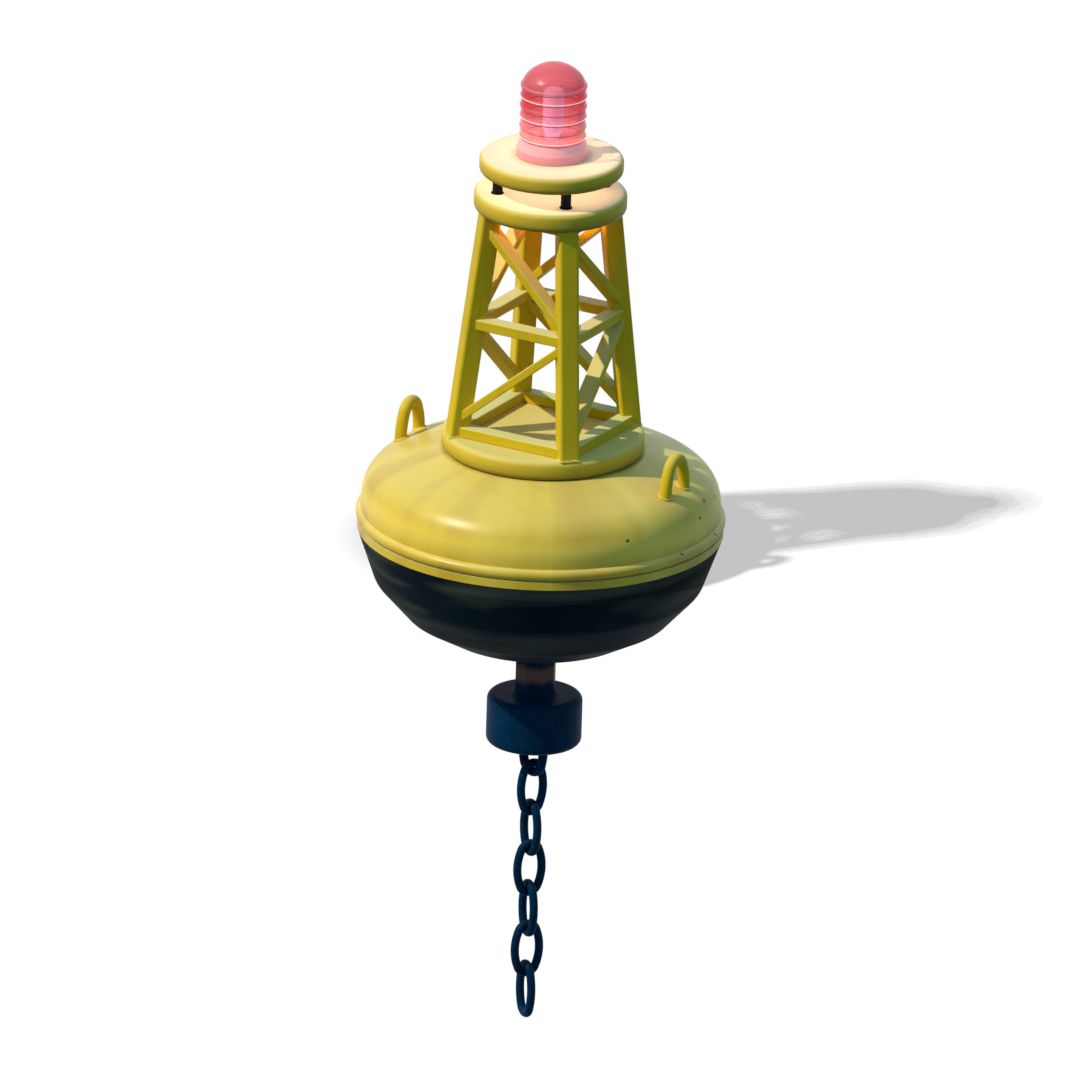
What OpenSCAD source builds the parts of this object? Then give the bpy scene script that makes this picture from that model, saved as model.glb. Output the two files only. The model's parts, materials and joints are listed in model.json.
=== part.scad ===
// Mooring buoy: a round steel hull with a lattice light tower, a marine
// lantern, a ballast weight on a stem and a pendant of open-link chain.
// Millimetres. Z is up, z = 0 is the waterline and the axis is x = y = 0.

/* [Hull] */
// Radius of the upper hull's side
hull_r = 797; // [664:1:957]
// Height of the paint line over the water
paint_z = 60; // [40:1:90]
// Height of the upper hull's side, from the paint line to the shoulder
side_h = 138; // [110:1:170]
// Radius of the shoulder
shoulder_r = 180; // [140:1:220]
// Radius of the crown
crown_r = 1827; // [1500:1:2200]
// Depth of the lower hull under the paint line
bowl_h = 535; // [440:1:640]

/* [Girth] */
// Width of the rubbing belt, out from the hull's side
belt_w = 15; // [12:1:18]
// Height of the rubbing belt
belt_h = 36; // [30:1:44]
// Radius of the half-round bead over the belt
bead_r = 28; // [24:1:34]
// How far the bead stands out from the hull's side
bead_out = 22; // [18:1:24]

/* [Lifting eyes] */
// How far in from the hull's side each lifting eye stands
eye_in = 124; // [118:1:160]
// Width of a lifting eye, between the middles of its legs
eye_w = 164; // [142:1:190]
// Height of a lifting eye's bar over the hull, to its middle
eye_h = 151; // [132:1:180]
// Diameter of a lifting eye's bar
eye_d = 54; // [46:1:60]
// Bend of a lifting eye, to the middle of the bar
eye_bend_r = 62; // [52:1:68]

/* [Tower plates] */
// Radius of the tower's base plate
base_r = 450; // [375:1:540]
// Thickness of the base plate
base_h = 90; // [74:1:108]
// Radius of the plate on top of the legs
top_r = 340; // [300:1:400]
// Thickness of the top plate
top_h = 90; // [74:1:108]
// Radius of the lamp platform
lamp_r = 320.5; // [280:1:380]
// Thickness of the lamp platform
lamp_h = 82; // [68:1:100]
// Rounding of the plates' rims, over and under the upright band
rim_r = 26; // [20:1:32]

/* [Tower frame] */
// Height of the legs, between the base plate and the top plate
tower_h = 1036; // [860:1:1241]
// How far in from the base plate's rim a leg's middle stands
foot_in = 53; // [50:1:80]
// How far in from the top plate's rim a leg's middle ends
head_in = 66; // [54:1:90]
// Width of the square legs
leg_w = 90; // [76:1:100]
// How far the legs lap over the plates' rims
leg_lap = 30; // [26:1:34]
// Rounding of the legs' corners
leg_corner = 13; // [8:1:18]
// Width of the rails and braces, across the tower's face
bar_w = 72; // [60:1:80]
// Height of the rails
rail_h = 48; // [40:1:56]
// Height of the braces
brace_h = 37; // [30:1:44]
// Height of the flat rails under the top plate
top_rail_h = 28; // [23:1:34]
// Rounding of the rails' and braces' edges
bar_corner = 6; // [3:1:8]
// Height of the middle rails' middle over the base plate
mid_z = 526; // [440:1:600]
// Height of a lower brace's low end over the base plate
low_start = 78; // [72:1:94]
// Distance of a lower brace's high end under the middle rail's middle
low_end = 20; // [16:1:30]
// Height of an upper brace's low end over the middle rail's middle
up_start = 42; // [36:1:50]
// Distance of an upper brace's high end under the top plate
up_end = 61; // [56:1:74]

/* [Lamp posts] */
// How far in from the lamp platform's rim a post's middle stands
post_in = 75; // [66:1:90]
// Radius of the eight-sided posts, to the corners
post_r = 24; // [20:0.5:29]
// Height of the posts
post_h = 81; // [64:1:97]

/* [Lantern] */
// Radius of the lantern's foot
foot_flange_r = 159; // [150:1:190]
// Height of the foot's upright edge
foot_flange_h = 40; // [32:1:48]
// Height of the foot's sloped shoulder
foot_slope_h = 44; // [37:1:53]
// Outer radius of the lens
lens_r = 143.5; // [119:0.5:156]
// Height of the lens's ribbed wall
lens_h = 232; // [226:1:278]
// Thickness of the lens's wall
lens_wall = 6; // [5:1:8]
// Radius of the dome's shoulder
dome_shoulder_r = 93; // [78:1:111]
// Radius of the dome's crown
dome_crown_r = 161; // [158:1:240]
// Number of ribs round the lens
rib_n = 6; // [4:1:6]
// Distance between the ribs
rib_pitch = 46.8; // [39:0.2:47]
// Gap between the lowest rib and the foot
rib_gap = 0.5; // [0.5:0.5:4]
// Radius of a rib's section
rib_r = 11; // [9:0.5:13]
// How far a rib stands out of the lens's wall
rib_out = 5.5; // [4:0.5:7]
// Radius of the lamp tube
bulb_r = 46; // [38:1:56]
// Height of the lamp tube, without its neck
bulb_h = 182; // [152:1:188]
// Rounding of the lamp tube's top
bulb_edge = 20; // [12:1:30]
// Radius of the lamp's neck
neck_r = 29; // [24:1:35]
// Height of the lamp's neck, where it widens to the tube
neck_h = 46; // [38:1:52]

/* [Ballast] */
// Radius of the eight-sided stem, to the corners
stem_r = 92; // [78:1:108]
// Length of the stem
stem_h = 238; // [200:1:286]
// Radius of the ballast weight
weight_r = 212; // [180:1:252]
// Height of the ballast weight
weight_h = 231; // [194:1:276]
// Rounding of the weight's edges
weight_edge = 32; // [24:1:40]
// Width of the eye under the weight, between the middles of its legs
hook_w = 132; // [124:1:156]
// Depth of that eye's bar under the weight, to its middle
hook_h = 141; // [124:1:168]
// Diameter of that eye's bar
hook_d = 42; // [35:1:44]
// Bend of that eye, to the middle of the bar
hook_bend_r = 55; // [53:1:58]
// Direction of that eye's plane, from +X
hook_turn = -16; // [-20:1:-14]

/* [Chain] */
// Number of links
link_n = 6; // [2:1:8]
// Diameter of the links' bar
link_d = 38; // [32:1:40]
// Width of a link, between the middles of its sides
link_w = 118; // [108:1:138]
// Length of a link, between the middles of its ends
link_l = 228; // [200:1:272]
// Bend of a link's ends, to the middle of the bar
link_bend_r = 45; // [42:0.5:50]
// Direction of the links' planes, from +X, where the chain hangs untwisted
link_turn = 54; // [52:1:66]
// Twist that each of the top two links takes up, from the eye's own turn
link_twist = 5; // [4:1:6]

/* [Clearances] */
// Gap where a ring goes round the hull
ring_gap = 0.3; // [0.2:0.1:0.5]
// Gap between two links' bars at rest
link_gap = 0.3; // [0.2:0.1:0.5]
// Gap between the first link and the eye, which it crosses a little askew
hook_gap = 0.5; // [0.5:0.1:1]

/* [Hidden] */
$fn = 96;

// Hull: the belt stands on the lower hull's edge, and the bead on the belt.
belt_r = hull_r + belt_w;
bead_z = paint_z + belt_h + bead_r;
bead_middle_r = hull_r + bead_out - bead_r;
shoulder_z = paint_z + side_h;
// The shoulder's middle, and where it runs into the crown.
shoulder_x = hull_r - shoulder_r;
crown_turn = asin(shoulder_x / (crown_r - shoulder_r));
crown_z = shoulder_z - (crown_r - shoulder_r) * cos(crown_turn);
meet_x = crown_r * sin(crown_turn);
meet_z = crown_z + crown_r * cos(crown_turn);
swell = 0.2;
// The crown is cut flat for the base plate, a little wider than the plate.
seat_ledge = 7;
seat_r = base_r + seat_ledge;
seat_z = crown_z + sqrt(crown_r * crown_r - seat_r * seat_r);

// Lower hull: chines from the belt down to the stem's seat.
// Columns: how far in from the belt, depth under the paint line, rounding.
chines = [
    [84, 236, 105],
    [226, 392, 65],
    [418, 496, 200],
];
CHINE_IN = 0;
CHINE_DEEP = 1;
CHINE_ROUND = 2;
bowl_seat_r = stem_r + 38;
bowl_z = paint_z - bowl_h;

eye_x = hull_r - eye_in;

// Tower heights.
base_z = seat_z;
deck_z = base_z + base_h;
head_z = deck_z + tower_h;
roof_z = head_z + top_h;
lamp_z = roof_z + post_h;
lantern_z = lamp_z + lamp_h;
foot_r = base_r - foot_in;
head_r = top_r - head_in;
leg_lean = atan((foot_r - head_r) / tower_h);
post_x = lamp_r - post_in;
// Half the distance between two legs at height z, along a face.
function half_bay(z) =
    (foot_r + (head_r - foot_r) * (z - deck_z) / tower_h) / sqrt(2);

rail_low_z = deck_z + rail_h / 2;
rail_mid_z = deck_z + mid_z;
rail_top_z = head_z - top_rail_h / 2;
// Braces: height of the low end's middle and of the high end's middle.
brace_low = [deck_z + low_start, rail_mid_z - low_end];
brace_up = [head_z - up_end, rail_mid_z + up_start];

// Lantern heights.
lens_z = lantern_z + foot_flange_h + foot_slope_h;
dome_z = lens_z + lens_h;

// Ballast heights.
weight_top = bowl_z - stem_h;
weight_low = weight_top - weight_h;
hook_z = weight_low - hook_h;

// Chain: the middle of each link.
link_pitch = link_l - link_d - link_gap;
first_link_z = hook_z + (hook_d + link_d) / 2 + hook_gap - link_l / 2;

HULL_YELLOW = "gold";
DARK_BLUE = "darkslateblue";
BLACK = "black";
LENS_RED = "red";
FOOT_PINK = "pink";
BULB_WHITE = "lavender";

SIDES = [0, 1, 2, 3];

// ---- Shapes that repeat ----

// The rounding of a corner: a slice of a disc, between two directions less
// than 80 degrees apart. It runs on past both of them inside the corner, and
// stands a hair proud, so that it cuts the corner's two sides cleanly.
module rounding(middle, r, from, to) {
    past = 6;
    far = 1.4 * r;
    intersection() {
        translate(middle) circle(r + swell);
        translate(middle) polygon([
            [0, 0],
            far * [cos(from - past), sin(from - past)],
            far * [cos(to + past), sin(to + past)],
        ]);
    }
}

// A flat round plate with rounded edges, standing on z = 0.
module round_plate(r, h, edge) {
    rotate_extrude() {
        square([r - edge, h]);
        translate([0, edge]) square([r, h - 2 * edge]);
        translate([r - edge, edge])
            intersection() {
                circle(edge);
                translate([0, -edge]) square(edge);
            }
        translate([r - edge, h - edge])
            intersection() {
                circle(edge);
                square(edge);
            }
    }
}

// A rectangle with rounded corners, round its middle.
module soft_rectangle(w, h, corner) {
    square([w - 2 * corner, h], center = true);
    square([w, h - 2 * corner], center = true);
    for (x = [-1, 1], y = [-1, 1])
        translate([x * (w / 2 - corner), y * (h / 2 - corner)])
            circle(corner);
}

// An oval ring of round bar in the XZ plane: w and 2 h between the middles of
// the bar, with a crown of bend_r at the top. The sides are arcs that meet the
// crown smoothly and stand upright at z = 0. They run on down to the angle
// low, or as far as the lower crown if there is one. The sides are a hair
// thinner and end inside the crown, so that the two make one clean solid.
module oval_ring(w, h, d, bend_r, low, crowns = [0]) {
    half = w / 2;
    rise = h - bend_r;
    side_r = (half * half + rise * rise - bend_r * bend_r) / (w - 2 * bend_r);
    turn = atan2(rise, side_r - half);
    past = 1.5;
    over = past / side_r * 180 / PI;
    from = len(crowns) == 2 ? -turn - over : low;
    rotate([90, 0, 0]) {
        for (end = crowns)
            mirror([0, end, 0])
                translate([0, rise])
                    rotate_extrude(angle = 180 - 2 * turn, start = turn)
                        translate([bend_r, 0]) circle(d / 2);
        for (side = [0, 1])
            mirror([side, 0, 0])
                translate([half - side_r, 0])
                    rotate_extrude(angle = turn + over - from, start = from)
                        translate([side_r, 0]) circle(d / 2 - swell);
    }
}

// ---- Hull ----

module hull_upper_profile() {
    polygon([
        [0, paint_z],
        [hull_r, paint_z],
        [hull_r, shoulder_z],
        [shoulder_x, shoulder_z],
        [meet_x, meet_z],
        [0, meet_z],
    ]);
    rounding([shoulder_x, shoulder_z], shoulder_r, 0, 90 - crown_turn);
    intersection() {
        translate([0, crown_z]) circle(crown_r, $fn = 256);
        translate([0, meet_z]) square([hull_r, seat_z - meet_z]);
    }
}

module hull_upper_solid() {
    rotate_extrude() hull_upper_profile();
}

module hull_upper() {
    color(HULL_YELLOW) hull_upper_solid();
}

// The corners of the lower hull's outline, from the belt to the stem's seat.
bowl_corners = [
    [belt_r, paint_z],
    for (c = chines) [belt_r - c[CHINE_IN], paint_z - c[CHINE_DEEP]],
    [bowl_seat_r, bowl_z],
];
function direction(from, to) = (to - from) / norm(to - from);
function angle_of(v) = atan2(v[1], v[0]);
// Half of the turn at a corner, and how far the rounding reaches from it.
function half_turn(i) =
    let (a = direction(bowl_corners[i - 1], bowl_corners[i]),
         b = direction(bowl_corners[i], bowl_corners[i + 1]))
    acos(a * b) / 2;
function reach(i) = chines[i - 1][CHINE_ROUND] * tan(half_turn(i));
function before(i) =
    bowl_corners[i] - reach(i) * direction(bowl_corners[i - 1], bowl_corners[i]);
function after(i) =
    bowl_corners[i] + reach(i) * direction(bowl_corners[i], bowl_corners[i + 1]);
// The middle of the rounding lies square to the outline, inside the hull.
function round_middle(i) =
    let (d = direction(bowl_corners[i - 1], bowl_corners[i]))
    before(i) + chines[i - 1][CHINE_ROUND] * [d[1], -d[0]];

module hull_lower_profile() {
    last = len(chines);
    polygon([
        [0, bowl_z],
        bowl_corners[last + 1],
        for (i = [last : -1 : 1]) each [after(i), before(i)],
        bowl_corners[0],
        [0, paint_z],
    ]);
    for (i = [1 : last])
        rounding(
            round_middle(i), chines[i - 1][CHINE_ROUND],
            angle_of(after(i) - round_middle(i)),
            angle_of(before(i) - round_middle(i))
        );
}

module hull_lower() {
    color(DARK_BLUE) rotate_extrude() hull_lower_profile();
}

module rubbing_belt() {
    color(HULL_YELLOW)
        rotate_extrude()
            translate([hull_r + ring_gap, paint_z])
                square([belt_w - ring_gap, belt_h]);
}

module rubbing_bead() {
    color(HULL_YELLOW)
        rotate_extrude()
            difference() {
                translate([bead_middle_r, bead_z]) circle(bead_r);
                translate([hull_r + ring_gap - 2 * bead_r, bead_z - 2 * bead_r])
                    square([2 * bead_r, 4 * bead_r]);
            }
}

// The eye's foot is cut to the hull's surface.
module lifting_eye(side) {
    foot = crown_z + sqrt(crown_r * crown_r - eye_x * eye_x);
    root_turn = -14;
    color(HULL_YELLOW)
        difference() {
            translate([side * eye_x, 0, foot])
                rotate([0, 0, 90])
                    oval_ring(eye_w, eye_h, eye_d, eye_bend_r, root_turn);
            hull_upper_solid();
        }
}

// ---- Tower ----

module tower_base_solid() {
    translate([0, 0, base_z]) round_plate(base_r, base_h, rim_r);
}

module tower_top_solid() {
    translate([0, 0, head_z]) round_plate(top_r, top_h, rim_r);
}

module tower_base() {
    color(HULL_YELLOW) tower_base_solid();
}

module tower_top() {
    color(HULL_YELLOW) tower_top_solid();
}

// Leg 1 stands between the -Y and the +X face, and the others follow it
// anticlockwise. A flat side of each leg faces the axis. It runs on past both
// plates' faces, as it stands over their round rims.
module leg_solid(i) {
    long = (tower_h + 2 * leg_lap) / cos(leg_lean);
    rotate([0, 0, -45 + 90 * i])
        translate([foot_r, 0, deck_z])
            rotate([0, -leg_lean, 0])
                translate([0, 0, -leg_lap])
                    linear_extrude(long)
                        soft_rectangle(leg_w, leg_w, leg_corner);
}

module tower_leg(i) {
    color(HULL_YELLOW)
        difference() {
            leg_solid(i);
            tower_base_solid();
            tower_top_solid();
        }
}

// Face 0 looks along -Y, with leg 4 on its left and leg 1 on its right.
module on_face(i) {
    rotate([0, 0, 90 * i]) children();
}

// What is in front of a face's own two mitres, so that the bars of two faces
// that meet behind a leg share no space.
module quarter(i) {
    on_face(i)
        translate([0, 0, base_z])
            linear_extrude(roof_z - base_z)
                polygon([[0, 0], [-base_r, -base_r], [base_r, -base_r]]);
}

module rail_solid(i, z, h) {
    long = 2 * half_bay(z);
    on_face(i)
        translate([-long / 2, -long / 2, z])
            rotate([90, 0, 90])
                linear_extrude(long)
                    soft_rectangle(bar_w, h, bar_corner);
}

module rail(i, z, h) {
    color(HULL_YELLOW)
        difference() {
            intersection() {
                rail_solid(i, z, h);
                quarter(i);
            }
            leg_solid(i);
            leg_solid(i + 3);
        }
}

// A brace runs from the left leg to the right leg of its face, at the heights
// in ends. The legs lean, so it lies in the face's own slope.
module brace(i, ends) {
    left = [-half_bay(ends[0]), -half_bay(ends[0]), ends[0]];
    right = [half_bay(ends[1]), -half_bay(ends[1]), ends[1]];
    run = right - left;
    long = norm(run);
    color(HULL_YELLOW)
        difference() {
            intersection() {
                on_face(i)
                    translate(left)
                        rotate([0, -asin(run[2] / long), atan2(run[1], run[0])])
                            rotate([90, 0, 90])
                                linear_extrude(long)
                                    soft_rectangle(bar_w, brace_h, bar_corner);
                quarter(i);
            }
            leg_solid(i);
            leg_solid(i + 3);
            rail_solid(i, rail_mid_z, rail_h);
        }
}

module lamp_post(i) {
    color(BLACK)
        rotate([0, 0, -45 + 90 * i])
            translate([post_x, 0, roof_z])
                rotate([0, 0, 45 - 90 * i])
                    cylinder(h = post_h, r = post_r, $fn = 8);
}

module lamp_platform() {
    color(HULL_YELLOW)
        translate([0, 0, lamp_z])
            round_plate(lamp_r, lamp_h, rim_r);
}

// ---- Lantern ----

module lantern_foot() {
    color(FOOT_PINK)
        translate([0, 0, lantern_z])
            rotate_extrude()
                polygon([
                    [0, 0],
                    [foot_flange_r, 0],
                    [foot_flange_r, foot_flange_h],
                    [lens_r, foot_flange_h + foot_slope_h],
                    [0, foot_flange_h + foot_slope_h],
                ]);
}

// The lens's outline, made thinner all round by inset.
module lens_profile(inset) {
    r = lens_r - inset;
    shoulder = dome_shoulder_r - inset;
    crown = dome_crown_r - inset;
    middle_x = lens_r - dome_shoulder_r;
    turn = asin(middle_x / (dome_crown_r - dome_shoulder_r));
    crown_middle = dome_z - (dome_crown_r - dome_shoulder_r) * cos(turn);
    meet = [crown * sin(turn), crown_middle + crown * cos(turn)];
    polygon([
        [0, lens_z],
        [r, lens_z],
        [r, dome_z],
        [middle_x, dome_z],
        meet,
        [0, meet[1]],
    ]);
    rounding([middle_x, dome_z], shoulder, 0, 90 - turn);
    intersection() {
        translate([0, crown_middle]) circle(crown);
        translate([0, meet[1]]) square([r, crown]);
    }
}

module lantern_lens() {
    rib_x = lens_r + rib_out - rib_r;
    rib_z = lens_z + rib_gap + rib_r;
    color(LENS_RED)
        rotate_extrude()
            difference() {
                union() {
                    lens_profile(0);
                    for (i = [0 : rib_n - 1])
                        translate([rib_x, rib_z + i * rib_pitch]) circle(rib_r);
                }
                lens_profile(lens_wall);
            }
}

module lamp_tube() {
    straight = bulb_h - bulb_edge;
    color(BULB_WHITE)
        translate([0, 0, lens_z])
            rotate_extrude() {
                polygon([
                    [0, 0],
                    [neck_r, 0],
                    [bulb_r, neck_h],
                    [bulb_r, neck_h + straight],
                    [bulb_r - bulb_edge, neck_h + straight],
                    [bulb_r - bulb_edge, neck_h + bulb_h],
                    [0, neck_h + bulb_h],
                ]);
                translate([bulb_r - bulb_edge, neck_h + straight])
                    intersection() {
                        circle(bulb_edge);
                        square(bulb_edge);
                    }
            }
}

// ---- Ballast and chain ----

module ballast_stem() {
    color(DARK_BLUE)
        translate([0, 0, weight_top])
            cylinder(h = stem_h, r = stem_r, $fn = 8);
}

module ballast_weight() {
    color(DARK_BLUE)
        translate([0, 0, weight_low])
            round_plate(weight_r, weight_h, weight_edge);
}

module ballast_eye() {
    color(DARK_BLUE)
        translate([0, 0, weight_low])
            rotate([0, 0, hook_turn])
                mirror([0, 0, 1])
                    oval_ring(hook_w, hook_h, hook_d, hook_bend_r, 0);
}

// Links lie in turn across each other, the top two a little twisted.
module chain_link(i) {
    twist = link_twist * max(0, 2 - i);
    color(DARK_BLUE)
        translate([0, 0, first_link_z - i * link_pitch])
            rotate([0, 0, link_turn - 90 * (i % 2) + twist])
                oval_ring(link_w, link_l / 2, link_d, link_bend_r, 0, [0, 1]);
}

hull_upper();
hull_lower();
rubbing_belt();
rubbing_bead();
lifting_eye(-1);  // lifting_eye_left
lifting_eye(1);  // lifting_eye_right
tower_base();
for (i = SIDES) {
    tower_leg(i);
    rail(i, rail_low_z, rail_h);
    rail(i, rail_mid_z, rail_h);
    rail(i, rail_top_z, top_rail_h);
    brace(i, brace_low);
    brace(i, brace_up);
    lamp_post(i);
}
tower_top();
lamp_platform();
lantern_foot();
lantern_lens();
lamp_tube();
ballast_stem();
ballast_weight();
ballast_eye();
for (i = [0 : link_n - 1])
    chain_link(i);
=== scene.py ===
import json
import math

import bpy
from mathutils import Matrix, Vector


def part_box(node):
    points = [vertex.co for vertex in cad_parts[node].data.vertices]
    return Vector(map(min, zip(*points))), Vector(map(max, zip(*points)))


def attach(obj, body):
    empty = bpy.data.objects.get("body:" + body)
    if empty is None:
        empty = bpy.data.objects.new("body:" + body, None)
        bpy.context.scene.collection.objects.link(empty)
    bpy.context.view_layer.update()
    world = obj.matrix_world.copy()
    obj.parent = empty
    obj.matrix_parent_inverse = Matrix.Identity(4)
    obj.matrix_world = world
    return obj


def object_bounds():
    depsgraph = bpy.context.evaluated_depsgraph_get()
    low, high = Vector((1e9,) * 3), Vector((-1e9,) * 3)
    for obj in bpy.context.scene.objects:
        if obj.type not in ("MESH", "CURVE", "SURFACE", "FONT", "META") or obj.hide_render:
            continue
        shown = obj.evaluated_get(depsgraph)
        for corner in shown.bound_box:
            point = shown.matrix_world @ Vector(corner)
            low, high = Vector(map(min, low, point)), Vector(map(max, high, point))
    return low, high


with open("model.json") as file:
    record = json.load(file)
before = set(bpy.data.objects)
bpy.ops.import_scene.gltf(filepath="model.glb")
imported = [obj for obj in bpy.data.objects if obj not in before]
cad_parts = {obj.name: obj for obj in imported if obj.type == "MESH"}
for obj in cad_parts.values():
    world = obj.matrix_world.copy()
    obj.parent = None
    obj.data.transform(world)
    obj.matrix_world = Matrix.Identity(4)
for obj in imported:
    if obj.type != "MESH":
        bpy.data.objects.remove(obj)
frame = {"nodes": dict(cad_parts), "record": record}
cadLow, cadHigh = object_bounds()
nodes = frame["nodes"]
print("frame loaded:", len(nodes), "nodes")


def srgb(r, g, b):
    # a colour as it shows on a screen, each value from 0 to 255
    def linear(c):
        c /= 255
        return c / 12.92 if c < 0.04045 else ((c + 0.055) / 1.055) ** 2.4
    return (linear(r), linear(g), linear(b), 1)


def heights(name):
    low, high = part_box(name)
    return low[2], high[2]


def direction(azimuth, elevation):
    # outwards from the object, in degrees from the front and from level
    a, e = math.radians(azimuth), math.radians(elevation)
    return Vector((math.sin(a) * math.cos(e), -math.cos(a) * math.cos(e), math.sin(e)))


class Tree:
    # short way to lay out shader nodes from left to right
    def __init__(self, owner):
        self.tree = owner.node_tree
        self.count = 0

    def link(self, node, values):
        # each value is a socket to link from, or a plain setting
        for key, value in values.items():
            if isinstance(value, bpy.types.NodeSocket):
                self.tree.links.new(value, node.inputs[key])
            else:
                node.inputs[key].default_value = value

    def add(self, kind, values=None, **settings):
        node = self.tree.nodes.new(kind)
        node.location = (self.count * 180, 0)
        self.count += 1
        for key, value in settings.items():
            setattr(node, key, value)
        self.link(node, values or {})
        return node

    def objectPoint(self, scale=(1, 1, 1)):
        coord = self.add("ShaderNodeTexCoord").outputs["Object"]
        if scale == (1, 1, 1):
            return coord
        return self.add("ShaderNodeMapping", {"Vector": coord, "Scale": scale}).outputs[0]

    def split(self, vector, which):
        parts = self.add("ShaderNodeSeparateXYZ", {0: vector})
        return parts.outputs["XYZ".index(which)]

    def vector(self, what, a, b=(0, 0, 0)):
        # a distance or a length is in Value, a turned or scaled vector in Vector
        return self.add("ShaderNodeVectorMath", {0: a, 1: b}, operation=what).outputs

    def noise(self, scale, detail, rough=0.55, stretch=(1, 1, 1), distortion=0.0):
        return self.add("ShaderNodeTexNoise", {
            "Vector": self.objectPoint(stretch), "Scale": scale, "Detail": detail,
            "Roughness": rough, "Distortion": distortion}).outputs["Fac"]

    def ramp(self, fac, low, high, fromValue=0.0, toValue=1.0):
        return self.add("ShaderNodeMapRange", {
            "Value": fac, "From Min": low, "From Max": high,
            "To Min": fromValue, "To Max": toValue}, clamp=True).outputs[0]

    def band(self, value, low, high, soft, amount):
        # the amount between low and high, nought outside, with soft ends
        rise = self.ramp(value, low - soft, low + soft)
        fall = self.ramp(value, high - soft, high + soft, amount, 0)
        return self.math("MULTIPLY", rise, fall)

    def math(self, what, a, b):
        return self.add("ShaderNodeMath", {0: a, 1: b}, operation=what).outputs[0]

    def uneven(self, value, noise, amount):
        # a height or a slope, made ragged by a noise
        return self.math("ADD", value, self.math("MULTIPLY", noise, amount))

    def mix(self, fac, a, b):
        node = self.add("ShaderNodeMix", data_type="RGBA")
        self.link(node, {0: fac, 6: a, 7: b})
        return node.outputs[2]

    def layer(self, colour, patches, look):
        # a second colour over the first, where the patches lie in the look's range
        cover = self.ramp(patches, *look["range"], 0, look["amount"])
        return self.mix(cover, colour, look["colour"])

    def bump(self, scale, detail, distance, strength, normal=None):
        values = {"Height": self.noise(scale, detail), "Distance": distance,
                  "Strength": strength}
        if normal is not None:
            values["Normal"] = normal
        return self.add("ShaderNodeBump", values).outputs[0]

    def seen(self):
        # what the camera sees, straight, in a reflection or through glass
        light = self.add("ShaderNodeLightPath").outputs
        both = self.math("MAXIMUM", light["Is Camera Ray"], light["Is Glossy Ray"])
        return self.math("MAXIMUM", both, light["Is Transmission Ray"])

    def principled(self, values):
        return self.add("ShaderNodeBsdfPrincipled", values).outputs[0]

    def finish(self, shader):
        self.add("ShaderNodeOutputMaterial", {"Surface": shader})


def newMaterial(name):
    mat = bpy.data.materials.new(name)
    mat.use_nodes = True
    mat.node_tree.nodes.clear()
    return mat, Tree(mat)


# Noises are given as scale, detail, roughness, stretch and distortion, bumps as scale, detail,
# depth and strength. A layer has the range of the noise that it covers, and its strength.

# yellow paint, as it is on the tower
yellow = {
    "broad": (1.7, 3),
    "fine": (22, 4),
    "runs": (1.0, 4, 0.6, (14, 14, 0.9)),
    "fresh": srgb(212, 182, 32),
    "worn": {"colour": srgb(194, 166, 28), "range": (0.35, 0.7), "amount": 1},
    "pale": {"colour": srgb(222, 202, 84), "range": (0.55, 0.8), "amount": 0.3},
    "streak": {"colour": srgb(180, 150, 26), "range": (0.5, 0.7), "amount": 0.3},
    "skyLitTop": srgb(202, 205, 150),    # on sides that face up: painted sky light, paler and bluer
    "facingUp": (0.3, 1.0),             # how far they face up, from none of the painted sky light to all of it
    "skyLitRagged": 0.1,
    "grimeAndShade": srgb(92, 86, 12),          # faint, and gone above the second height; also the painted shade low on the plates' rims
    "grimeHeight": (0.04, 0.15),
    "grimeRagged": -0.05,
    "grimeAmount": 0.06,
    "shine": (9, 3),
    "shineRange": (0.3, 0.7),
    "rough": 0.42,
    "roughSpread": 0.16,
    "grain": (260, 2, 0.0003, 0.4),
    "waves": (4, 2, 0.003, 0.3),
    "gloss": 0.1,
    "coat": 0.0,
}
# the same paint where it is wet: hull, bead and belt
hull = {
    "tint": srgb(212, 184, 52),         # salt haze
    "streak": {**yellow["streak"], "amount": 0.6},
    # soft bands that run down the sides
    "flow": {"Scale": 3.4, "Detail": 1.5, "Distortion": 0.3},
    "flowDark": {"colour": srgb(166, 126, 10), "range": (0.48, 0.7), "amount": 0.5},
    "flowPale": {"colour": srgb(222, 200, 92), "range": (0.5, 0.3), "amount": 0.5},
    "paintedLightBand": srgb(246, 216, 94),         # a pale band over the bead: painted light on the low hull
    "paintedLightSpan": (0.175, 0.26, 0.025, 0.6),    # from, to, softness and strength
    # painted sky light on the hull's sides that face up
    "skyLitTop": srgb(214, 206, 146),
    "rough": 0.4,
    "gloss": 0.12,
    "coat": 0.45,
    "coatRough": 0.33,
    "coatIndex": 1.55,
    "chipped": srgb(40, 34, 16),
    "chipNoise": (90, 2),
    "chipRange": (0.3, 0.7),
    "chipRagged": 0.35,
    "chipCore": 0.8,                    # share of its size that is bare all over
    # chipped places: x, y, z and size
    "chips": [(0.7528, 0.127, 0.3026, 0.011), (0.6704, -0.4108, 0.2593, 0.008),
              (0.7334, 0.2625, 0.2767, 0.010), (0.7863, 0.034, 0.2573, 0.009)],
    "beadChips": [(0.7933, 0.164, 0.1442, 0.009), (0.7982, -0.1431, 0.1434, 0.009)],
}
# and on the plates: painted shade low on the rims, and tops painted paler with the lantern's
# light
plates = {
    "tint": srgb(218, 188, 88),
    "tintAmount": 0.4,
    "shadeReach": 0.7,                   # share of the rim's height
    "shadeAmount": 0.9,
    "shadeRagged": 0.01,
    "levelTop": (0.75, 0.97),           # how far a side faces up, from none of the painted lantern light to all of it
    # painted lantern light on the tops of the platform and of the top plate
    "lanternLitCream": srgb(240, 211, 184),
    "lanternLitPeach": srgb(250, 220, 178),
}


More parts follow.
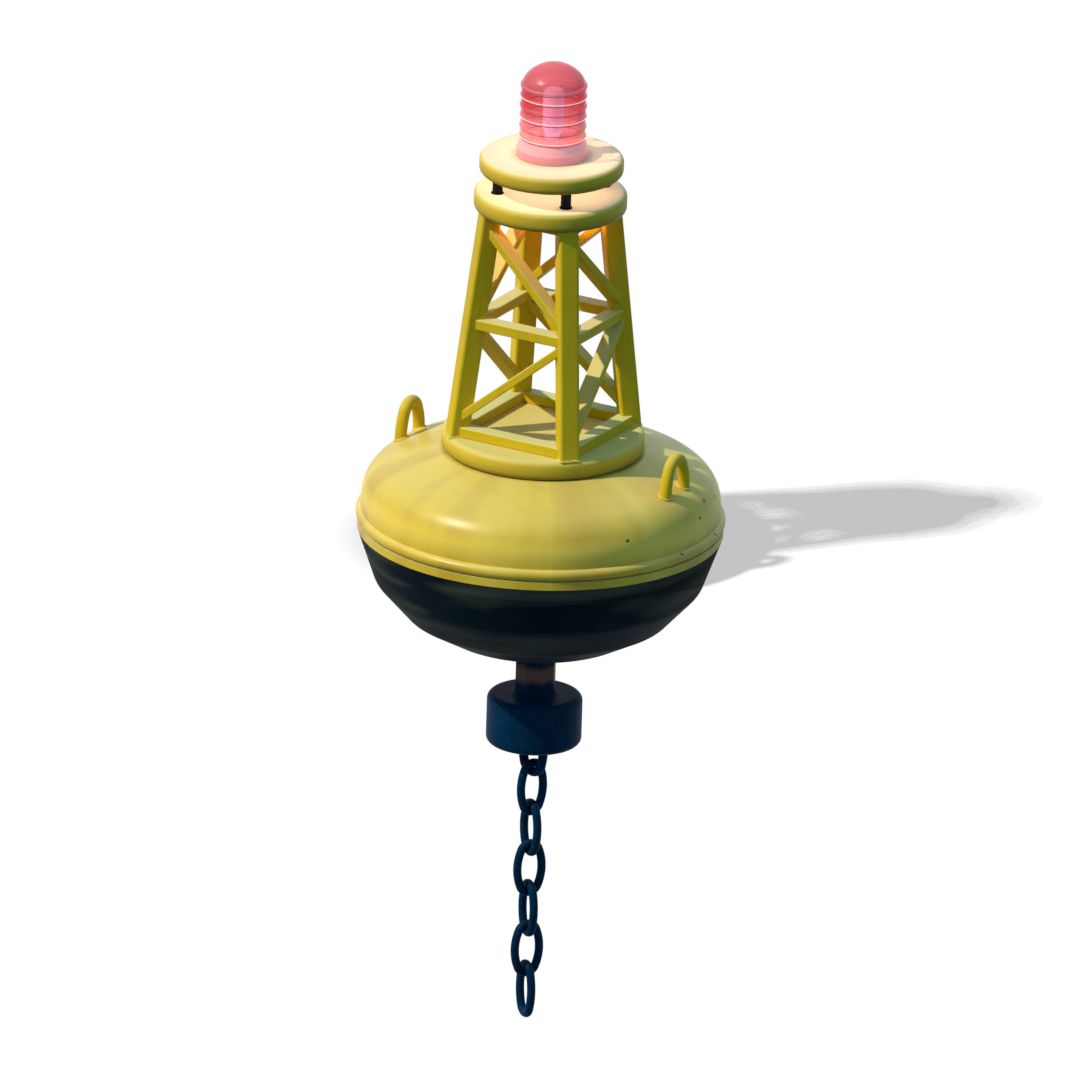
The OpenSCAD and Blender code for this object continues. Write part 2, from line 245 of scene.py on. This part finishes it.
def hullTintAndLitBand(t, colour, height, haze):
    colour = t.mix(haze, colour, hull["tint"])
    around = t.vector("NORMALIZE", t.objectPoint((1, 1, 0)))["Vector"]
    flow = t.add("ShaderNodeTexNoise", {"Vector": around, **hull["flow"]}).outputs["Fac"]
    colour = t.layer(colour, flow, hull["flowDark"])
    colour = t.layer(colour, flow, hull["flowPale"])
    # painted light: a paler band low on the hull, over the bead
    return t.mix(t.band(height, *hull["paintedLightSpan"]), colour, hull["paintedLightBand"])


def rimTintAndShade(t, colour, height, runs, plate):
    low, high = heights(plate)
    reach = low + plates["shadeReach"] * (high - low)
    # painted shade: each rim turns darker towards its bottom
    rimShade = t.ramp(t.uneven(height, runs, plates["shadeRagged"]), low, reach,
                  plates["shadeAmount"], 0)
    colour = t.mix(plates["tintAmount"], colour, plates["tint"])
    return t.mix(rimShade, colour, yellow["grimeAndShade"])


def chipMask(t, places):
    # ragged little patches where the paint is off
    wobble = hull["chipRagged"]
    ragged = t.ramp(t.noise(*hull["chipNoise"]), *hull["chipRange"], 1 - wobble, 1 + wobble)
    mask = 0.0
    for x, y, z, size in places:
        away = t.vector("DISTANCE", t.objectPoint(), (x, y, z))["Value"]
        away = t.math("MULTIPLY", away, ragged)
        mask = t.math("MAXIMUM", t.ramp(away, size * hull["chipCore"], size, 1, 0), mask)
    return mask


def makeYellow(name, haze=0.0, skyLitAmount=0.9, chips=(), plate=None, lanternLitTop=None):
    mat, t = newMaterial(name)
    style = hull if haze else yellow
    broad = t.noise(*yellow["broad"])
    fine = t.noise(*yellow["fine"])
    runs = t.noise(*yellow["runs"])
    height = t.split(t.objectPoint(), "Z")
    rise = t.split(t.add("ShaderNodeNewGeometry").outputs["Normal"], "Z")
    colour = t.layer(yellow["fresh"], broad, yellow["worn"])
    colour = t.layer(colour, fine, yellow["pale"])
    colour = t.layer(colour, runs, style["streak"])
    if haze:
        colour = hullTintAndLitBand(t, colour, height, haze)
    # painted light: sides that face up turn paler and bluer, as if lit by the sky
    skyLit = t.ramp(t.uneven(rise, fine, yellow["skyLitRagged"]), *yellow["facingUp"], 0, skyLitAmount)
    colour = t.mix(skyLit, colour, style["skyLitTop"])
    wet = t.ramp(t.uneven(height, broad, yellow["grimeRagged"]), *yellow["grimeHeight"],
                 yellow["grimeAmount"], 0)
    colour = t.mix(wet, colour, yellow["grimeAndShade"])
    if plate:
        colour = rimTintAndShade(t, colour, height, runs, plate)
    # painted light: tops that face up turn paler, as if lit by the lantern
    if lanternLitTop:
        colour = t.mix(t.ramp(rise, *plates["levelTop"]), colour, lanternLitTop)
    if chips:
        colour = t.mix(chipMask(t, chips), colour, hull["chipped"])
    shine = t.ramp(t.noise(*yellow["shine"]), *yellow["shineRange"], style["rough"],
                   style["rough"] + yellow["roughSpread"])
    grain = t.bump(*yellow["grain"])
    t.finish(t.principled({
        "Base Color": colour, "Roughness": shine, "Normal": t.bump(*yellow["waves"], grain),
        "Specular IOR Level": style["gloss"], "Coat Weight": style["coat"],
        "Coat Roughness": hull["coatRough"], "Coat IOR": hull["coatIndex"]}))
    return mat


# dark bottom paint with lighter bands, below the rubbing belt
bottom = {
    "deep": srgb(7, 24, 34),
    "bands": (1.0, 2, 0.45, (1.1, 1.1, 6.5), 0.3),
    "lighter": {"colour": srgb(92, 98, 90), "range": (0.48, 0.7), "amount": 0.8},
    "fine": (30, 4),
    "slime": {"colour": srgb(16, 28, 24), "range": (0.55, 0.75), "amount": 0.3},
    "grain": (120, 3, 0.0006, 0.5),
    "rough": 0.6,
    "gloss": 0.02,
}


def makeBottom():
    mat, t = newMaterial("bottomPaint")
    colour = t.layer(bottom["deep"], t.noise(*bottom["bands"]), bottom["lighter"])
    colour = t.layer(colour, t.noise(*bottom["fine"]), bottom["slime"])
    t.finish(t.principled({
        "Base Color": colour, "Roughness": bottom["rough"],
        "Normal": t.bump(*bottom["grain"]), "Specular IOR Level": bottom["gloss"]}))
    return mat


# steel of the ballast and the chain, navy with rust
steel = {
    "navy": srgb(0, 44, 80),
    "broad": (9, 4),
    "dull": {"colour": srgb(0, 33, 60), "range": (0.35, 0.7), "amount": 1},
    "fine": (26, 4),
    "bright": {"colour": srgb(6, 62, 94), "range": (0.55, 0.8), "amount": 0.5},
    "rust": srgb(152, 98, 86),
    "rustSpots": (36, 5, 0.7),
    "rustRange": (0.6, 0.72),
    # rusty band round the stem: from, to, softness and strength
    "stemBand": (-0.615, -0.55, 0.014, 0.85),
    "bandNoise": (11, 4),
    "bandRagged": 0.05,
    "grain": (70, 4, 0.001, 0.5),
    "rough": 0.5,
    "gloss": 0.03,
}


def makeSteel(name, rust, rustBand=None):
    mat, t = newMaterial(name)
    colour = t.layer(steel["navy"], t.noise(*steel["broad"]), steel["dull"])
    colour = t.layer(colour, t.noise(*steel["fine"]), steel["bright"])
    rusty = t.ramp(t.noise(*steel["rustSpots"]), *steel["rustRange"], 0, rust)
    colour = t.mix(rusty, colour, steel["rust"])
    if rustBand:
        height = t.split(t.objectPoint(), "Z")
        ragged = t.uneven(height, t.noise(*steel["bandNoise"]), steel["bandRagged"])
        colour = t.mix(t.band(ragged, *rustBand), colour, steel["rust"])
    t.finish(t.principled({
        "Base Color": colour, "Roughness": steel["rough"],
        "Normal": t.bump(*steel["grain"]), "Specular IOR Level": steel["gloss"]}))
    return mat


# black paint of the lamp posts
black = {
    "deep": srgb(2, 5, 6),
    "worn": srgb(10, 14, 14),
    "noise": (40, 3),
    "rough": 0.5,
    "gloss": 0.1,
}


def makeBlack():
    mat, t = newMaterial("postBlackPaint")
    colour = t.mix(t.noise(*black["noise"]), black["deep"], black["worn"])
    t.finish(t.principled({
        "Base Color": colour, "Roughness": black["rough"],
        "Specular IOR Level": black["gloss"]}))
    return mat


# red lens, in four tints from the dome down
lens = {
    "dome": srgb(176, 88, 104),
    "upper": srgb(204, 36, 56),
    "middle": srgb(222, 132, 152),
    "lowest": srgb(246, 160, 140),
    "steps": (1.965, 2.03, 2.128),     # heights where the tint changes, from the lowest
    "stepSoft": 0.02,
    "domeSoft": 0.008,
    "broad": (6, 2),
    "stepRagged": 0.012,
    "rib": srgb(214, 128, 146),
    "ribDepth": (0.005, 0.002),        # milky from here to here inside the widest point
    "ribAmount": 0.6,
    "clear": srgb(255, 214, 217),      # what passes through the glass, and low down
    "clearLow": srgb(255, 230, 234),
    "clearSoft": 0.03,
    "facing": 0.3,
    "facingRange": (0.05, 0.9),
    "face": 0.2,                       # how solid the lens looks from straight ahead
    "edge": 0.9,                       # and at its sides
    "domeSolid": 0.5,                  # and all over the dome
    "domeRise": 0.02,
    "rough": 0.3,
    "glow": 0.1,
    "gloss": 0.35,
}


def lensTint(t, height, ragged):
    low, middle, high = lens["steps"]
    soft = lens["stepSoft"]
    tint = t.mix(t.ramp(ragged, low - soft, low + soft), lens["lowest"], lens["middle"])
    tint = t.mix(t.ramp(ragged, middle - soft, middle + soft), tint, lens["upper"])
    tint = t.mix(t.ramp(height, high, high + lens["domeSoft"]), tint, lens["dome"])
    # the ribs stand proud of the wall and look milkier
    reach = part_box("lantern_lens")[1][0]
    deep, shallow = lens["ribDepth"]
    away = t.vector("LENGTH", t.objectPoint((1, 1, 0)))["Value"]
    milky = t.ramp(away, reach - deep, reach - shallow, 0, lens["ribAmount"])
    return t.mix(milky, tint, lens["rib"])


def lensSolid(t, height):
    high = lens["steps"][2]
    edge = t.add("ShaderNodeLayerWeight", {"Blend": lens["facing"]}).outputs["Facing"]
    wall = t.ramp(edge, *lens["facingRange"], lens["face"], lens["edge"])
    dome = t.ramp(height, high, high + lens["domeRise"], 0, lens["domeSolid"])
    return t.math("MAXIMUM", wall, dome)


def makeLens():
    mat, t = newMaterial("lensRedGlass")
    height = t.split(t.objectPoint(), "Z")
    ragged = t.uneven(height, t.noise(*lens["broad"]), lens["stepRagged"])
    low, middle = lens["steps"][:2]
    soft = lens["clearSoft"]
    glass = t.mix(t.ramp(ragged, low - soft, middle + soft), lens["clearLow"], lens["clear"])
    # the glass casts no shadow: light passes straight through it
    shadow = t.add("ShaderNodeLightPath").outputs["Is Shadow Ray"]
    passed = t.mix(shadow, glass, (1, 1, 1, 1))
    solid = t.math("MULTIPLY", lensSolid(t, height), t.math("SUBTRACT", 1.0, shadow))
    clear = t.add("ShaderNodeBsdfTransparent", {"Color": passed}).outputs[0]
    tint = lensTint(t, height, ragged)
    milky = t.principled({
        "Base Color": tint, "Roughness": lens["rough"], "Emission Color": tint,
        "Emission Strength": lens["glow"], "Specular IOR Level": lens["gloss"]})
    t.finish(t.add("ShaderNodeMixShader", {0: solid, 1: clear, 2: milky}).outputs[0])
    return mat


# pink foot: a slope over an upright flange, with painted shade that makes the flange darker,
# most of all at its bottom
foot = {
    "pink": srgb(228, 160, 168),
    "other": srgb(232, 150, 158),
    "noise": (12, 2),
    "flange": 0.476,     # share of the foot's height
    "flangeSoft": 0.001,
    # painted shade on the upright flange, darkest at its bottom
    "side": srgb(222, 122, 128),
    "sideAmount": 0.75,
    "lowShade": srgb(150, 116, 104),
    "lowShadeNoise": (30, 3),
    "lowShadeRagged": 0.01,
    "lowShadeAmount": 0.9,
    "rough": 0.3,
    # painted light: the foot glows as if lit by the lantern
    "glow": 0.28,
    "gloss": 0.3,
}


def makeFoot():
    mat, t = newMaterial("footPinkPlastic")
    low, high = heights("lantern_foot")
    flange = low + foot["flange"] * (high - low)
    soft = foot["flangeSoft"]
    height = t.split(t.objectPoint(), "Z")
    colour = t.mix(t.noise(*foot["noise"]), foot["pink"], foot["other"])
    # painted shade: the upright flange is darker than the slope
    side = t.ramp(height, flange - soft, flange + soft, foot["sideAmount"], 0)
    colour = t.mix(side, colour, foot["side"])
    # painted shade, darker towards the flange's bottom
    ragged = t.uneven(height, t.noise(*foot["lowShadeNoise"]), foot["lowShadeRagged"])
    shadedLow = t.ramp(ragged, low, flange, foot["lowShadeAmount"], 0)
    colour = t.mix(shadedLow, colour, foot["lowShade"])
    # painted light: the foot glows as if lit by the lantern
    t.finish(t.principled({
        "Base Color": colour, "Roughness": foot["rough"], "Emission Color": foot["pink"],
        "Emission Strength": foot["glow"], "Specular IOR Level": foot["gloss"]}))
    return mat


# pale tube in the lens
tube = {
    "colour": srgb(205, 204, 238),
    "other": srgb(224, 218, 246),
    "noise": (8, 2),
    "rough": 0.3,
    "glow": 0.8,
}


def makeShining(name, look):
    # a finish that shines a little: the tube, and the thin lines on the lens
    mat, t = newMaterial(name)
    colour = t.mix(t.noise(*look["noise"]), look["colour"], look["other"])
    t.finish(t.principled({
        "Base Color": colour, "Roughness": look["rough"], "Emission Color": look["colour"],
        "Emission Strength": look["glow"]}))
    return mat


towerPaint = makeYellow("towerYellowPaint")
hullPaint = makeYellow("hullYellowPaint", haze=0.22, skyLitAmount=0.34, chips=hull["chips"])
eyePaint = makeYellow("eyeYellowPaint", skyLitAmount=0.25)
finishes = {
    "hull_paint": towerPaint,
    "bottom_paint": makeBottom(),
    "chain_steel": makeSteel("chainSteel", 0.15),
    "black_paint": makeBlack(),
    "lens_red": makeLens(),
    "foot_pink": makeFoot(),
    "tube_white": makeShining("tubeGlow", tube),
}
# nodes with a finish of their own
special = {
    "hull_upper": hullPaint,
    "rubbing_bead": makeYellow("beadYellowPaint", haze=0.1, skyLitAmount=0.5,
                               chips=hull["beadChips"]),
    "rubbing_belt": makeYellow("beltYellowPaint", haze=0.5),
    "lifting_eye_left": eyePaint,
    "lifting_eye_right": eyePaint,
    "ballast_weight": makeSteel("weightSteel", 0.1),
    "ballast_eye": finishes["chain_steel"],
    "ballast_stem": makeSteel("stemSteel", 0.2, steel["stemBand"]),
    "tower_base": makeYellow("basePlatePaint", plate="tower_base"),
    "tower_top": makeYellow("topPlatePaint", plate="tower_top", lanternLitTop=plates["lanternLitPeach"]),
    "lamp_platform": makeYellow("platformPaint", plate="lamp_platform",
                                lanternLitTop=plates["lanternLitCream"]),
}
for part in frame["record"]["subparts"]:
    mesh = nodes[part["node"]].data
    mesh.materials.clear()
    mesh.materials.append(special.get(part["node"], finishes[part["material_slot"]]))
print("finishes given")


smoothAngle = 40    # degrees between two faces, up to which their edge is smooth


def deselect():
    bpy.ops.object.select_all(action="DESELECT")


def keep(piece, name, material, body="buoy"):
    # place into the mesh, smooth faces, its own finish and its body
    deselect()
    piece.select_set(True)
    bpy.context.view_layer.objects.active = piece
    bpy.ops.object.transform_apply(location=True, rotation=True, scale=True)
    bpy.ops.object.shade_smooth_by_angle(angle=math.radians(smoothAngle))
    piece.name = name
    piece.data.materials.clear()
    piece.data.materials.append(material)
    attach(piece, body)


# thin rings spun round an axis: lines on the lens and weld beads
rings = {
    "steps": 96,
    "around": 10,
    "merge": 1e-6,
    "rippleEvery": 3,    # in a weld, each third section is fatter
}


def spinRing(name, centre, ringRadius, thick, material, ripple=0.0, tilt=None):
    deselect()
    bpy.ops.mesh.primitive_circle_add(
        vertices=rings["around"], radius=thick, fill_type="NOTHING",
        location=(ringRadius, 0, 0), rotation=(math.pi / 2, 0, 0))
    ring = bpy.context.object
    bpy.ops.object.transform_apply(location=True, rotation=True, scale=True)
    bpy.ops.object.mode_set(mode="EDIT")
    bpy.ops.mesh.select_all(action="SELECT")
    bpy.ops.mesh.spin(steps=rings["steps"], angle=2 * math.pi, center=(0, 0, 0), axis=(0, 0, 1))
    bpy.ops.mesh.select_all(action="SELECT")
    bpy.ops.mesh.remove_doubles(threshold=rings["merge"])
    bpy.ops.mesh.normals_make_consistent(inside=False)
    if ripple:
        bpy.ops.mesh.select_all(action="DESELECT")
        bpy.ops.object.mode_set(mode="OBJECT")
        step = 2 * math.pi / rings["steps"]
        for v in ring.data.vertices:
            section = round(math.atan2(v.co.y, v.co.x) / step)
            v.select = section % rings["rippleEvery"] == 0
        bpy.ops.object.mode_set(mode="EDIT")
        bpy.ops.transform.shrink_fatten(value=ripple)
    bpy.ops.object.mode_set(mode="OBJECT")
    ring.location = centre
    if tilt is not None:
        ring.rotation_euler = tilt.to_track_quat("Z", "Y").to_euler()
    keep(ring, name, material)


# painted highlight lines on the lens's ribs, and a painted shade line below each rib
ribLines = {
    "crest": 0.0016,           # half the thickness of a painted highlight line
    "crestRibs": (0, 2, 4),    # ribs that have one, from the lowest
    "shadeLine": 0.0016,          # and of a painted shade line
    "shadeLineDrop": 0.0098,
    "shadeLineDepth": 0.0052,
    "crestBand": 0.0002,       # points this close to the widest are a rib's crest
    "ribGap": 0.01,
    "pale": {"colour": srgb(255, 226, 226), "other": srgb(250, 206, 208),
             "noise": (30, 2), "rough": 0.25, "glow": 0.35},
    "dark": {"colour": srgb(138, 26, 46), "other": srgb(160, 44, 62),
             "noise": (30, 2), "rough": 0.25, "glow": 0.1},
}


def ribHeights(mesh, reach):
    levels = []
    for z in sorted(v.co.z for v in mesh.vertices
                    if math.hypot(v.co.x, v.co.y) > reach - ribLines["crestBand"]):
        if not levels or z - levels[-1][-1] > ribLines["ribGap"]:
            levels.append([])
        levels[-1].append(z)
    return [sum(level) / len(level) for level in levels]


def makeRibLines():
    pale = makeShining("ribHighlightPale", ribLines["pale"])
    dark = makeShining("ribShadeDark", ribLines["dark"])
    mesh = nodes["lantern_lens"].data
    reach = max(math.hypot(v.co.x, v.co.y) for v in mesh.vertices)
    for i, z in enumerate(ribHeights(mesh, reach)):
        # a painted highlight ring on the crest, and a painted shade ring below the rib
        if i in ribLines["crestRibs"]:
            spinRing(f"rib_highlight_line_{i + 1}", (0, 0, z), reach, ribLines["crest"], pale)
        spinRing(f"rib_shade_line_{i + 1}", (0, 0, z - ribLines["shadeLineDrop"]),
                 reach - ribLines["shadeLineDepth"], ribLines["shadeLine"], dark)


makeRibLines()


# round weld beads at the stem, the lamp posts and the lifting eyes
roundWeld = {
    "bead": 0.008,
    "smallBead": 0.005,
    "ripple": 0.0007,
    "smallRipple": 0.00035,
    "eyeFit": 1.03,    # the bead stands a little off the eye's bar
}


def makeStemWelds():
    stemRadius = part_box("ballast_stem")[1][0]
    stemLow, stemHigh = heights("ballast_stem")
    for name, z in (("stem_weld_top", stemHigh), ("stem_weld_low", stemLow)):
        spinRing(name, (0, 0, z), stemRadius, roundWeld["bead"], finishes["chain_steel"],
                 roundWeld["ripple"])


def makePostWelds():
    for i in range(1, 5):
        low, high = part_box(f"lamp_post_{i}")
        centre = ((low[0] + high[0]) / 2, (low[1] + high[1]) / 2, low[2])
        spinRing(f"post_weld_{i}", centre, (high[0] - low[0]) / 2, roundWeld["smallBead"],
                 finishes["black_paint"], roundWeld["smallRipple"])


def makeEyeWelds():
    # each lifting eye stands on two feet on the curved hull
    shell = nodes["hull_upper"]
    for side in ("left", "right"):
        low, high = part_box(f"lifting_eye_{side}")
        bar = (high[0] - low[0]) / 2
        x = (low[0] + high[0]) / 2
        for i, y in enumerate((low[1] + bar, high[1] - bar)):
            # the hull's nearest point, looked for again from that point's own height
            near = shell.closest_point_on_mesh((x, y, (low[2] + high[2]) / 2))[1]
            place, normal = shell.closest_point_on_mesh((x, y, near.z))[1:3]
            spinRing(f"eye_weld_{side}_{i + 1}", place, bar * roundWeld["eyeFit"],
                     roundWeld["bead"], hullPaint, roundWeld["ripple"], normal)


makeStemWelds()
makePostWelds()
makeEyeWelds()


# fillet welds round the tower legs, cut from the legs themselves
legWeld = {
    "height": 0.008,
    "spread": 0.012,
    "cut": 0.0006,    # the first cut, this far off the plate's face
    "sunk": 0.002,    # how far the wide end then moves towards the plate
    "merge": 1e-5,
    "slack": 1e-4,
}


def sliceLeg(leg, name, z, way):
    deselect()
    weld = bpy.data.objects.new(name, nodes[leg].data.copy())
    bpy.context.scene.collection.objects.link(weld)
    weld.select_set(True)
    bpy.context.view_layer.objects.active = weld
    near, far = z + way * legWeld["cut"], z + way * legWeld["height"]
    bpy.ops.object.mode_set(mode="EDIT")
    bpy.ops.mesh.select_all(action="SELECT")
    bpy.ops.mesh.remove_doubles(threshold=legWeld["merge"])
    for height, below in ((min(near, far), True), (max(near, far), False)):
        bpy.ops.mesh.select_all(action="SELECT")
        bpy.ops.mesh.bisect(plane_co=(0, 0, height), plane_no=(0, 0, 1), use_fill=True,
                            clear_inner=below, clear_outer=not below)
    bpy.ops.mesh.select_all(action="DESELECT")
    bpy.ops.object.mode_set(mode="OBJECT")
    # the end at the plate is widened and let into it
    chosen = [v for v in weld.data.vertices if abs(v.co.z - near) < legWeld["slack"]]
    centre = sum((v.co for v in chosen), Vector()) / len(chosen)
    size = max(v.co.x for v in chosen) - min(v.co.x for v in chosen)
    for v in chosen:
        v.select = True
    bpy.ops.object.mode_set(mode="EDIT")
    wide = 1 + legWeld["spread"] / size
    bpy.ops.transform.resize(value=(wide, wide, 1), center_override=centre)
    bpy.ops.transform.translate(value=(0, 0, -way * legWeld["sunk"]))
    bpy.ops.mesh.select_all(action="SELECT")
    bpy.ops.mesh.normals_make_consistent(inside=False)
    bpy.ops.object.mode_set(mode="OBJECT")
    keep(weld, name, towerPaint)


for i in range(1, 5):
    sliceLeg(f"tower_leg_{i}", f"leg_weld_low_{i}", heights("tower_base")[1], 1)
    sliceLeg(f"tower_leg_{i}", f"leg_weld_top_{i}", heights("tower_top")[0], -1)
print("welds and rib lines made")


# warm sun from the left
sun = {"energy": 3.6, "colour": (1, 0.86, 0.62), "angle": 0.9, "azimuth": -42,
       "elevation": 46, "height": 6}
# warm light round the lantern: from over it, between the top plates, and up at the top plate
spill = {"height": 3.3, "energy": 40, "colour": (1, 0.82, 0.72), "cone": 26, "blend": 0.4,
         "size": 0.05, "turn": (0, 0, 0)}
between = {"below": 0.004, "energy": 1.2, "colour": (1, 0.84, 0.76), "width": 0.6}
under = {"height": 1.3, "energy": 24, "colour": (1, 0.4, 0.28), "cone": 130, "blend": 0.8,
         "size": 0.03, "turn": (math.pi, 0, 0)}


def towardsSun():
    return direction(sun["azimuth"], sun["elevation"])


def makeLamp(kind, name, height, values):
    bpy.ops.object.light_add(type=kind, location=(0, 0, height))
    lamp = bpy.context.object
    lamp.name = name
    lamp.data.energy = values["energy"]
    lamp.data.color = values["colour"]
    return lamp


def makeSun():
    lamp = makeLamp("SUN", "sun", sun["height"], sun)
    lamp.data.angle = math.radians(sun["angle"])
    lamp.rotation_euler = towardsSun().to_track_quat("Z", "Y").to_euler()


def makeSpot(name, values):
    lamp = makeLamp("SPOT", name, values["height"], values)
    lamp.rotation_euler = values["turn"]
    lamp.data.spot_size = math.radians(values["cone"])
    lamp.data.spot_blend = values["blend"]
    lamp.data.shadow_soft_size = values["size"]
    return lamp


def makeDisk(name, values):
    # a round lamp right under the platform
    height = heights("lamp_platform")[0] - values["below"]
    lamp = makeLamp("AREA", name, height, values)
    lamp.data.shape = "DISK"
    lamp.data.size = values["width"]
    return lamp


def makeLamps():
    makeSun()
    hidden = [makeSpot("lanternSpill", spill), makeDisk("betweenPlates", between),
              makeSpot("underTopPlate", under)]
    for lamp in hidden:
        lamp.visible_camera = False
        lamp.visible_glossy = False


makeLamps()
print("lamps placed")


# clear water surface as the floor: it shows nothing but the shadow that falls on it
floor = {
    "step": 0.012,       # distance between the floor's points
    "length": (-0.95, 3.1),
    "width": 0.96,       # to each side of the shadow's middle line
    "dark": 0.45,        # how dark the full shadow is
    "blur": 1.4,         # degrees off the sun, for the shadow's soft edge
    "rays": 8,
    "lift": 0.002,       # the rays start this far above the floor
    "inside": 0.06,      # this far in under the hull's edge it is all shadow
    "contact": 0.3,      # extra shade where the hull is near
    "contactReach": 0.12,
}


def softSun(sunward):
    # the sun's own direction and a ring of directions round it
    side = sunward.cross(Vector((0, 0, 1))).normalized()
    over = side.cross(sunward)
    spread = math.tan(math.radians(floor["blur"]))
    rays = [sunward]
    for i in range(floor["rays"]):
        angle = 2 * math.pi * i / floor["rays"]
        aside = math.cos(angle) * side + math.sin(angle) * over
        rays.append((sunward + spread * aside).normalized())
    return rays


def shadeAt(point, rays, depsgraph, hullEdge):
    away = math.hypot(point.x, point.y)
    if away < hullEdge - floor["inside"]:
        return 1.0
    start = point + Vector((0, 0, floor["lift"]))
    hits = [bpy.context.scene.ray_cast(depsgraph, start, ray)[0] for ray in rays]
    shade = sum(hits) / len(rays)
    near = max(0, 1 - max(0, away - hullEdge) / floor["contactReach"])
    return shade + floor["contact"] * near * near * (1 - shade)


def makeWater():
    mat, t = newMaterial("clearWater")
    shade = t.add("ShaderNodeAttribute", attribute_name="shade").outputs["Fac"]
    dark = t.math("MULTIPLY", t.math("MULTIPLY", shade, floor["dark"]), t.seen())
    colour = t.mix(dark, (1, 1, 1, 1), (0, 0, 0, 1))
    t.finish(t.add("ShaderNodeBsdfTransparent", {"Color": colour}).outputs[0])
    return mat


def makeFloor():
    sunward = towardsSun()
    along = Vector((-sunward.x, -sunward.y, 0)).normalized()
    start, end = floor["length"]
    deselect()
    bpy.ops.mesh.primitive_grid_add(
        size=1, x_subdivisions=round((end - start) / floor["step"]),
        y_subdivisions=round(2 * floor["width"] / floor["step"]),
        location=along * (start + end) / 2, rotation=(0, 0, math.atan2(along.y, along.x)))
    water = bpy.context.object
    water.name = "floor"
    water.scale = (end - start, 2 * floor["width"], 1)
    bpy.ops.object.transform_apply(location=True, rotation=True, scale=True)
    rays = softSun(sunward)
    depsgraph = bpy.context.evaluated_depsgraph_get()
    hullEdge = max(cadHigh[0], cadHigh[1])
    shades = [shadeAt(v.co, rays, depsgraph, hullEdge) for v in water.data.vertices]
    layer = water.data.attributes.new("shade", "FLOAT", "POINT")
    layer.data.foreach_set("value", shades)
    water.data.materials.append(makeWater())


makeFloor()
print("floor and shadow made")


# soft studio sky, cooler from above, and a white background
sky = {"above": (0.2, 0.42, 0.5, 1), "below": (0.07, 0.1, 0.1, 1), "soft": 0.35}


def makeWorld():
    world = bpy.data.worlds.new("studio")
    bpy.context.scene.world = world
    world.use_nodes = True
    world.node_tree.nodes.clear()
    t = Tree(world)
    white = t.add("ShaderNodeBackground", {"Color": (1, 1, 1, 1), "Strength": 1}).outputs[0]
    rise = t.split(t.add("ShaderNodeTexCoord").outputs["Generated"], "Z")
    colour = t.mix(t.ramp(rise, -sky["soft"], sky["soft"]), sky["below"], sky["above"])
    soft = t.add("ShaderNodeBackground", {"Color": colour, "Strength": 1}).outputs[0]
    mixed = t.add("ShaderNodeMixShader", {0: t.seen(), 1: soft, 2: white}).outputs[0]
    t.add("ShaderNodeOutputWorld", {"Surface": mixed})


makeWorld()


# where the camera stands and leans, in degrees, and its width and place, in metres
camera = {"azimuth": 28.71, "elevation": 19.88, "roll": 1.81, "width": 4.781, "away": 12,
          "right": 0.0012, "up": 0.0039}


def makeCamera():
    back = direction(camera["azimuth"], camera["elevation"])
    azimuth, roll = math.radians(camera["azimuth"]), math.radians(camera["roll"])
    level = Vector((math.cos(azimuth), math.sin(azimuth), 0))
    high = back.cross(level)
    right = math.cos(roll) * level + math.sin(roll) * high
    up = -math.sin(roll) * level + math.cos(roll) * high
    bpy.ops.object.camera_add()
    cam = bpy.context.object
    cam.name = "camera"
    cam.data.type = "ORTHO"
    cam.data.ortho_scale = camera["width"]
    place = back * camera["away"] + right * camera["right"] + up * camera["up"]
    turn = Matrix((right, up, back)).transposed().to_4x4()
    cam.matrix_world = Matrix.Translation(place) @ turn
    bpy.context.scene.camera = cam


makeCamera()
bpy.context.scene.view_settings.view_transform = "Standard"

print("scene ready")
